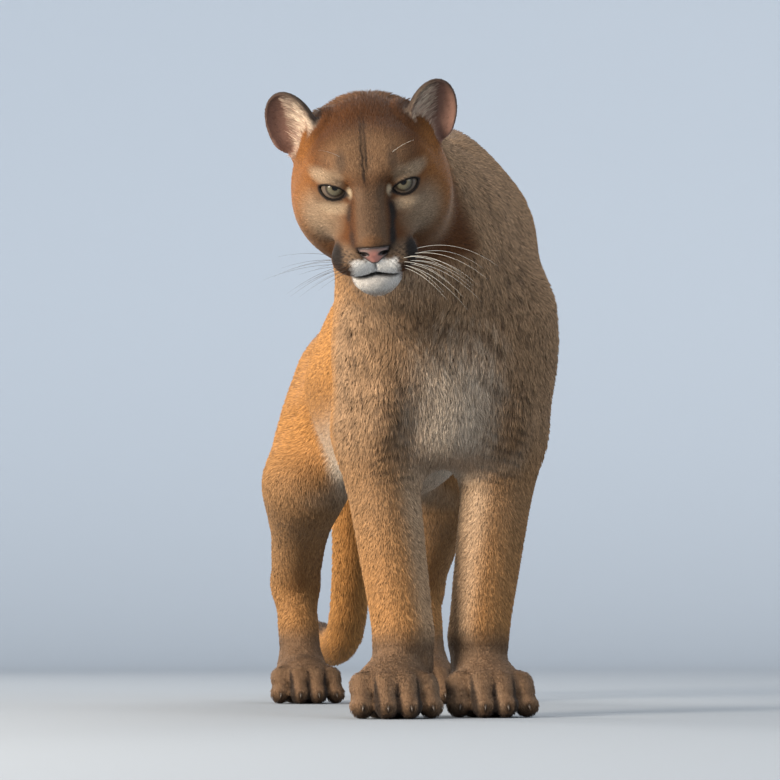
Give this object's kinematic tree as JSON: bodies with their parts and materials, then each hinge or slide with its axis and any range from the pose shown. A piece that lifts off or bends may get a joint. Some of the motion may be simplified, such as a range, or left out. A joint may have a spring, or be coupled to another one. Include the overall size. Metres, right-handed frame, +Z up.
{
  "type": "standing cougar, life-size still model",
  "caption": "Life-size still model of a cougar standing with its head lowered and turned, forepaws close together, hindquarters low, in a short tawny coat.",
  "frame": {"origin": "centre of the bounding box, at the level the paws stand on", "axes": "+Z up, the animal faces -Y, its left side is at +X"},
  "size_m": [0.385, 1.517, 0.7174],
  "materials": {
    "short_coat": "matte short fur, claws and whiskers with it",
    "nose_leather": "moist, finely pebbled",
    "eye": "wet gloss"
  },
  "bodies": {
    "root": {"ear_left": "short_coat", "ear_right": "short_coat", "eye_left": "eye", "eye_right": "eye", "foreleg_left": "short_coat", "foreleg_right": "short_coat", "forepaw_left": "short_coat", "forepaw_right": "short_coat", "head": "short_coat", "hind_foot_left": "short_coat", "hind_foot_right": "short_coat", "neck": "short_coat", "nose": "nose_leather", "shank_left": "short_coat", "shank_right": "short_coat", "tail_base": "short_coat", "tail_middle": "short_coat", "tail_tip": "short_coat", "thigh_left": "short_coat", "thigh_right": "short_coat", "torso": "short_coat"}
  },
  "joints": []
}
